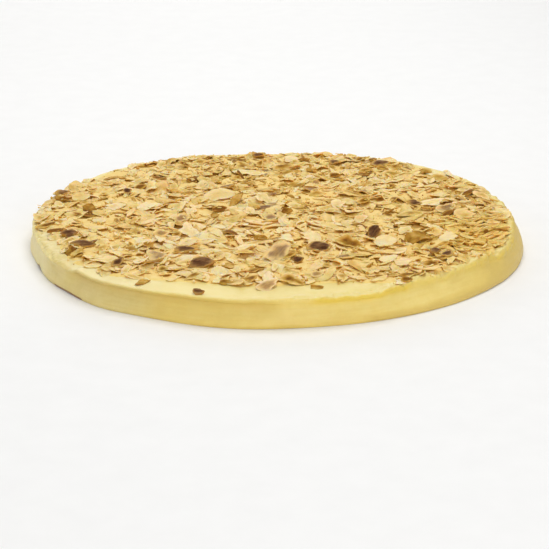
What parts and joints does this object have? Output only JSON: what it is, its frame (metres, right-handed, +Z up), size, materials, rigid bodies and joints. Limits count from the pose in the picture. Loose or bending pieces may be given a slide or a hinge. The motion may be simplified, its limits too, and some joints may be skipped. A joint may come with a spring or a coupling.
{
  "type": "almond cake",
  "caption": "Low round cake coated with smooth yellow buttercream, its top strewn with a loose layer of toasted flaked almonds; stands on its flat underside.",
  "frame": {"origin": "middle of the flat underside", "axes": "+Z up out of the almond-strewn top; -Y towards the widest bare margin of cream, which faces the camera in the picture"},
  "size_m": [0.28, 0.2812, 0.0208],
  "materials": {
    "buttercream": "smooth satin yellow buttercream, spread by hand",
    "almonds": "toasted almond flakes, pale to brown, dry and matt"
  },
  "bodies": {
    "root": {"cake": "buttercream", "almond_topping": "almonds"}
  },
  "joints": []
}
